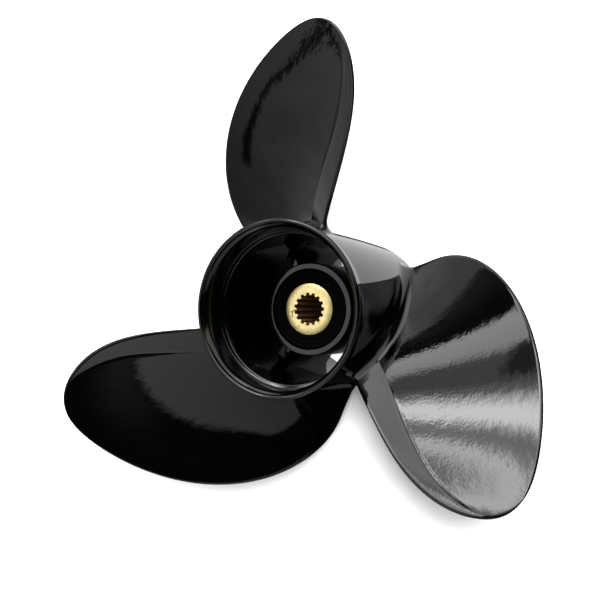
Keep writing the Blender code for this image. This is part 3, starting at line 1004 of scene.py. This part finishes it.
class PROPELLER_OT_blades(bpy.types.Operator):
    """Model the first blade with its fillets and copy it round the hub"""

    bl_idname = "propeller.blades"
    bl_label = "Blades"

    def execute(self, context):
        names = [f"blade_{number}_painted" for number in range(1, BLADE_COUNT + 1)]
        rings = blade_rings(context.scene.propeller_blade, context.scene.propeller_hub)
        first = roll_rings(names[0], rings)
        finish_piece(first, bpy.data.materials["gloss_black_paint"], 50.0)
        blades = [first] + turned_copies(first, names[1:], -math.tau / BLADE_COUNT)
        for number, piece in enumerate(blades, 1):
            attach(piece, "root")
            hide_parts(f"blade_{number}")
        return {"FINISHED"}


class PROPELLER_OT_bushing(bpy.types.Operator):
    """Model the rubber bushing"""

    bl_idname = "propeller.bushing"
    bl_label = "Rubber Bushing"

    def execute(self, context):
        piece = turn_outline("rubber_bushing_moulded", bushing_outline(), RUBBER_SEGMENTS)
        finish_piece(piece, bpy.data.materials["moulded_rubber"], 40.0)
        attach(piece, "root")
        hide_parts("rubber_bushing")
        return {"FINISHED"}


class PROPELLER_OT_sleeve(bpy.types.Operator):
    """Model the splined brass sleeve"""

    bl_idname = "propeller.sleeve"
    bl_label = "Splined Sleeve"

    def execute(self, context):
        piece = make_sleeve()
        finish_piece(piece, bpy.data.materials["pale_brass"], 30.0)
        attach(piece, "root")
        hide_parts("splined_sleeve")
        return {"FINISHED"}


# The studio, in degrees away from straight up: side runs towards +X and rise towards +Y.
# Stops are (place, brightness) along one of them, and edges are (place, height) lines.
WALL_STOPS = (
    (-60.0, 0.30), (-42.0, 0.25), (-28.0, 0.26), (-18.0, 0.36), (-8.0, 0.48), (4.0, 0.70),
    (12.0, 0.78), (60.0, 0.72), (76.0, 0.82), (88.0, 0.90), (97.0, 0.55), (108.0, 0.33))
WALL_SPAN = (-60.0, 110.0)
JOINT_EDGE = (
    (-40.0, -73.0), (-28.0, -69.0), (-22.0, -67.0), (-15.0, -65.5), (-10.0, -64.0),
    (-4.0, -62.5), (0.0, -60.3), (4.0, -57.0), (12.0, -50.0), (20.0, -44.0))
JOINT_SPAN = (-40.0, 20.0)
PALE_EDGE = (
    (-90.0, -60.0), (-40.0, -44.0), (-16.0, -31.0), (-6.0, -33.0), (0.0, -32.0), (6.0, -31.0),
    (18.0, -28.0), (32.0, -23.0), (46.0, -13.0), (56.0, -14.0), (60.0, -40.0), (90.0, -60.0))
PALE_EDGE_SPAN = (-90.0, 90.0)
PALE_STOPS = (
    (-30.0, 0.30), (-12.0, 1.25), (0.0, 0.90), (12.0, 0.78), (45.0, 0.52), (60.0, 0.45))
PALE_SPAN = (-30.0, 60.0)
RING_STOPS = (
    (0.0, 1.0), (21.0, 1.0), (23.5, 4.4), (29.5, 5.2), (30.9, 0.02), (40.0, 0.02), (42.0, 0.80))
RING_SPAN = (0.0, 44.0)
CORE_STOPS = (
    (0.0, 2.8), (3.0, 3.2), (5.0, 8.0), (6.2, 10.0), (7.6, 4.0), (8.8, 2.8), (9.8, 4.4),
    (11.5, 13.5), (13.5, 13.5), (15.0, 8.0), (16.5, 2.2), (18.5, 1.0))
CORE_SPAN = (0.0, 20.0)
EVEN_STOPS = (
    (-10.0, 3.0), (-3.0, 2.6), (0.0, 3.5), (3.0, 3.0), (7.0, 3.4), (12.0, 3.9), (20.0, 2.6),
    (30.0, 1.7), (56.0, 1.5), (66.0, 0.8), (78.0, 0.02))
ROOF_EDGE = (
    (-10.0, 79.0), (4.0, 79.0), (14.0, 74.0), (28.0, 68.0), (40.0, 63.0), (60.0, 60.0),
    (80.0, 56.0))
EVEN_SPAN = (-10.0, 80.0)
# Where the parts of the studio lie: (measure, from, to) fades that are multiplied
GREY_WALL = (("side", -22.0, -34.0),)
WALL_JOINT = (("joint", 1.0, 0.4), ("rise", -31.0, -27.0), ("rise", 12.0, 8.0))
CEILING = (
    ("side", -42.0, -26.0), ("side", 20.0, -2.0), ("rise", 73.0, 80.0), ("rise", 108.0, 92.0))
PALE_WALL = (("above", 1.2, -1.2),)
PALE_HAZE = (("above", 9.0, 2.0), ("above", 0.2, 1.6), ("side", 14.0, -10.0))
RING_SHADE = (("rise", 46.5, 44.0), ("side", -25.5, -27.5), ("side", -33.5, -31.5))
CORE = (("core", 19.5, 18.5),)
EVEN_HALF = (("side", -7.0, 0.0), ("roof", 2.0, -2.0), ("rise", 20.0, 26.0))
RINGED_HALF = (
    ("side", 0.0, -7.0), ("ring", 41.5, 40.5), ("rise", 20.0, 26.0), ("rise", 78.0, 74.0))
FACING_CARD = (("facing", 20.0, 11.0),)
BEHIND = (("lean", 106.0, 114.0),)
BEHIND_BRIGHT = (("rise", 76.0, 100.0),)
# Centres of the rings, the core and the facing card, in degrees, and the core's height
RING_CENTRE = (-10.0, 40.0)
CORE_CENTRE = (-9.0, 33.0)
CORE_SQUASH = 0.8
FACING_SIDE = -26.0
# Half width of the joint, at its foot and above, and where it narrows
JOINT_WIDTH = (2.4, 0.8)
JOINT_NARROWS = (-26.0, -12.0)
CLOUD_SCALE, CLOUD_DETAIL = 7.0, 3.0
CLOUD_MASK = (0.3, 0.7)
CLOUD_BRIGHTNESS = (0.80, 1.12)
# Brightness of the plain parts
DARK_ROOM = 0.006
JOINT_SHARE = 0.06
CEILING_GLOW = 2.2
HAZE_GLOW = 0.22
RING_SHADE_GLOW = 0.25
FACING_GLOW = 1.5
REAR_GLOW = 1.05
SEEN_BACKDROP = (0.96, 0.96, 0.96, 1.0)

KEY_PLACE = (0.66, 0.30, 1.35)
KEY_SIZE = 0.40
FLOOR_SIZE = 6.0
FLOOR_GAP = 0.0002
CARD_RADIUS = 0.043
CARD_GAP = 0.0001
# Added under a square root, so that straight up has a direction too
NEVER_ZERO = 1e-6


def brightness_profile(tree, value, span, stops):
    """Return a brightness from a curve of (place, brightness) stops over a span."""
    low, high = span
    top = max(brightness for place, brightness in stops)
    ramp = tree.nodes.new("ShaderNodeValToRGB")
    elements = ramp.color_ramp.elements
    while len(elements) < len(stops):
        elements.new(0.5)
    for element, (place, brightness) in zip(elements, stops):
        element.position = (place - low) / (high - low)
        element.color = (brightness / top, brightness / top, brightness / top, 1.0)
    tree.links.new(add_range(tree, value, low, high), ramp.inputs["Fac"])
    return times(tree, ramp.outputs["Color"], top)


def edge_curve(tree, value, span, stops):
    """Return the height of an edge drawn through (place, height) stops, in degrees."""
    low, high = span
    curve = tree.nodes.new("ShaderNodeFloatCurve")
    points = curve.mapping.curves[0].points
    while len(points) < len(stops):
        points.new(0.5, 0.5)
    for point, (place, height) in zip(points, stops):
        point.location = ((place - low) / (high - low), (height + 90.0) / 180.0)
    curve.mapping.update()
    tree.links.new(add_range(tree, value, low, high), curve.inputs["Value"])
    return calculate(tree, "MULTIPLY_ADD", curve.outputs["Value"], 180.0, -90.0)


def minus(tree, first, second):
    """Return the difference of two sockets or numbers."""
    return calculate(tree, "SUBTRACT", first, second)


def area(tree, measures, fades):
    """Return the mask of one part of the studio from its fades."""
    return times(tree, *(smooth_step(tree, measures[name], *ends) for name, *ends in fades))


def flat_directions(tree, direction):
    """Return side, rise and lean, the angle from straight up, of a direction in degrees."""
    east, north, up = split_axes(tree, direction)
    lean = times(tree, calculate(tree, "ARCCOSINE", up), math.degrees(1.0))
    stretch = calculate(tree, "DIVIDE", lean, length_of(tree, east, north, NEVER_ZERO))
    return {"side": times(tree, east, stretch), "rise": times(tree, north, stretch), "lean": lean}


def grey_wall(tree, direction, at):
    """Return the brightness of the cloudy grey wall on the left with its one dark joint."""
    wall = brightness_profile(tree, at["rise"], WALL_SPAN, WALL_STOPS)
    away = minus(tree, at["side"], edge_curve(tree, at["rise"], JOINT_SPAN, JOINT_EDGE))
    width = blend_values(tree, add_range(tree, at["rise"], *JOINT_NARROWS), *JOINT_WIDTH)
    at["joint"] = calculate(tree, "DIVIDE", calculate(tree, "ABSOLUTE", away), width)
    noise = add_noise(tree, direction, CLOUD_SCALE, CLOUD_DETAIL).outputs["Fac"]
    return times(tree, wall, blend_values(tree, area(tree, at, WALL_JOINT), 1.0, JOINT_SHARE),
                 blend_values(tree, add_range(tree, noise, *CLOUD_MASK), *CLOUD_BRIGHTNESS))


def pale_wall(tree, at, light):
    """Lay the pale wall below the view, with its uneven hazy upper edge, over the light."""
    at["above"] = minus(tree, at["rise"], edge_curve(tree, at["side"], PALE_EDGE_SPAN, PALE_EDGE))
    pale = brightness_profile(tree, at["side"], PALE_SPAN, PALE_STOPS)
    light = blend_values(tree, area(tree, at, PALE_WALL), light, pale)
    return calculate(tree, "MULTIPLY_ADD", area(tree, at, PALE_HAZE), HAZE_GLOW, light)


def softbox(tree, at, light):
    """Lay the round softbox over the light: rings and a core on its left, even on its right."""
    high = calculate(tree, "MAXIMUM", minus(tree, at["rise"], RING_CENTRE[1]), 0.0)
    at["ring"] = length_of(tree, minus(tree, at["side"], RING_CENTRE[0]), high)
    rings = brightness_profile(tree, at["ring"], RING_SPAN, RING_STOPS)
    rings = blend_values(tree, area(tree, at, RING_SHADE), rings, RING_SHADE_GLOW)
    tall = times(tree, minus(tree, at["rise"], CORE_CENTRE[1]), CORE_SQUASH)
    at["core"] = length_of(tree, minus(tree, at["side"], CORE_CENTRE[0]), tall)
    core = brightness_profile(tree, at["core"], CORE_SPAN, CORE_STOPS)
    rings = blend_values(tree, area(tree, at, CORE), rings, core)
    even = brightness_profile(tree, at["side"], EVEN_SPAN, EVEN_STOPS)
    at["roof"] = minus(tree, at["rise"], edge_curve(tree, at["side"], EVEN_SPAN, ROOF_EDGE))
    light = blend_values(tree, area(tree, at, EVEN_HALF), light, even)
    return blend_values(tree, area(tree, at, RINGED_HALF), light, rings)


def studio_world():
    """Soft studio round the stage: grey walls, a dark room and one large round softbox."""
    world = bpy.data.worlds.new("studio")
    world.use_nodes = True
    tree = world.node_tree
    direction = tree.nodes.new("ShaderNodeTexCoord").outputs["Generated"]
    at = flat_directions(tree, direction)
    light = blend_values(tree, area(tree, at, GREY_WALL), DARK_ROOM, grey_wall(tree, direction, at))
    light = blend_values(tree, area(tree, at, CEILING), light, CEILING_GLOW)
    light = pale_wall(tree, at, light)
    light = softbox(tree, at, light)
    at["facing"] = length_of(tree, minus(tree, at["side"], FACING_SIDE), at["rise"])
    light = blend_values(tree, area(tree, at, FACING_CARD), light, FACING_GLOW)
    rear = blend_values(tree, area(tree, at, BEHIND_BRIGHT), DARK_ROOM, REAR_GLOW)
    light = blend_values(tree, area(tree, at, BEHIND), light, rear)

    studio = tree.nodes["Background"]
    studio.inputs["Color"].default_value = (1.0, 1.0, 1.0, 1.0)
    tree.links.new(light, studio.inputs["Strength"])
    seen = tree.nodes.new("ShaderNodeBackground")
    seen.inputs["Color"].default_value = SEEN_BACKDROP
    path = tree.nodes.new("ShaderNodeLightPath")
    mix = tree.nodes.new("ShaderNodeMixShader")
    tree.links.new(path.outputs["Is Camera Ray"], mix.inputs["Fac"])
    tree.links.new(studio.outputs["Background"], mix.inputs[1])
    tree.links.new(seen.outputs["Background"], mix.inputs[2])
    tree.links.new(mix.outputs["Shader"], tree.nodes["World Output"].inputs["Surface"])
    return world


def add_key(power):
    """Add the square light that casts the shadows, facing the middle of the stage."""
    deselect_all()
    bpy.ops.object.light_add(type="AREA", location=KEY_PLACE)
    key = bpy.context.object
    key.name = "key"
    key.data.shape = "RECTANGLE"
    key.data.size = KEY_SIZE
    key.data.size_y = KEY_SIZE
    key.data.energy = power
    key.rotation_euler = (-Vector(KEY_PLACE)).to_track_quat("-Z", "Y").to_euler()
    key.visible_glossy = False
    return key


def settle_stage_piece(name, material):
    """Name the stage piece just added, put its place in its mesh and give it a material."""
    piece = bpy.context.object
    piece.name = name
    bpy.ops.object.transform_apply(location=True)
    piece.data.materials.append(bpy.data.materials[material])
    return piece


def add_camera(stage):
    """Add the camera with the photograph's view."""
    around = Matrix.Rotation(stage.camera_side, 3, "Y")
    tilt = Matrix.Rotation(stage.camera_rise, 3, "X")
    axes = (tilt @ around).transposed()
    bpy.ops.object.camera_add()
    camera = bpy.context.object
    camera.name = "photo_view"
    place = axes @ Vector(stage.camera_place) + Vector((0, 0, REAR_Z))
    camera.matrix_world = Matrix.Translation(place) @ axes.to_4x4()
    camera.data.lens = stage.focal_length
    camera.data.sensor_width = 36.0
    camera.data.shift_y = stage.camera_shift
    camera.data.clip_start = 0.01
    return camera


class PROPELLER_OT_stage(bpy.types.Operator):
    """Set up the floor, the lights and the camera"""

    bl_idname = "propeller.stage"
    bl_label = "Stage"

    def execute(self, context):
        stage = context.scene.propeller_stage
        deselect_all()
        bpy.ops.mesh.primitive_plane_add(size=FLOOR_SIZE, location=(0.0, 0.0, FRONT_Z - FLOOR_GAP))
        floor = settle_stage_piece("floor", "pale_floor")
        floor.visible_glossy = False
        key = add_key(stage.key_power)
        lit_by_key = bpy.data.collections.new("lit_by_key")
        lit_by_key.objects.link(floor)
        key.light_linking.receiver_collection = lit_by_key
        # Glowing card under the hub: painted shade and a painted reflection for the passages,
        # painted lit floor seen through them
        deselect_all()
        bpy.ops.mesh.primitive_circle_add(vertices=96, radius=CARD_RADIUS, fill_type="NGON",
                                          location=(0.0, 0.0, FRONT_Z - CARD_GAP))
        card = settle_stage_piece("under_card", "under_card")
        card.visible_diffuse = False
        card.visible_shadow = False
        context.scene.world = studio_world()
        context.scene.view_settings.view_transform = "Standard"
        context.scene.camera = add_camera(stage)
        return {"FINISHED"}


class PROPELLER_PT_panel(bpy.types.Panel):
    """Sidebar panel with the propeller's operators"""

    bl_idname = "PROPELLER_PT_panel"
    bl_label = "Propeller"
    bl_space_type = "VIEW_3D"
    bl_region_type = "UI"
    bl_category = "Propeller"

    def draw(self, context):
        for operator in OPERATORS:
            self.layout.operator(operator.bl_idname)


GROUPS = {
    "propeller_hub": HubSizes,
    "propeller_blade": BladeSizes,
    "propeller_finishes": Finishes,
    "propeller_stage": StageSizes,
}
OPERATORS = (
    PROPELLER_OT_finishes,
    PROPELLER_OT_hub,
    PROPELLER_OT_blades,
    PROPELLER_OT_bushing,
    PROPELLER_OT_sleeve,
    PROPELLER_OT_stage,
)
CLASSES = tuple(GROUPS.values()) + OPERATORS + (PROPELLER_PT_panel,)


def register():
    """Register the classes and their settings."""
    for item in CLASSES:
        bpy.utils.register_class(item)
    for name, group in GROUPS.items():
        setattr(bpy.types.Scene, name, PointerProperty(type=group))


def unregister():
    """Remove the settings and the classes."""
    for name in GROUPS:
        delattr(bpy.types.Scene, name)
    for item in reversed(CLASSES):
        bpy.utils.unregister_class(item)


def main():
    """Register the add-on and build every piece."""
    register()
    bpy.ops.propeller.finishes()
    bpy.ops.propeller.hub()
    bpy.ops.propeller.blades()
    bpy.ops.propeller.bushing()
    bpy.ops.propeller.sleeve()
    bpy.ops.propeller.stage()


if __name__ == "__main__":
    main()
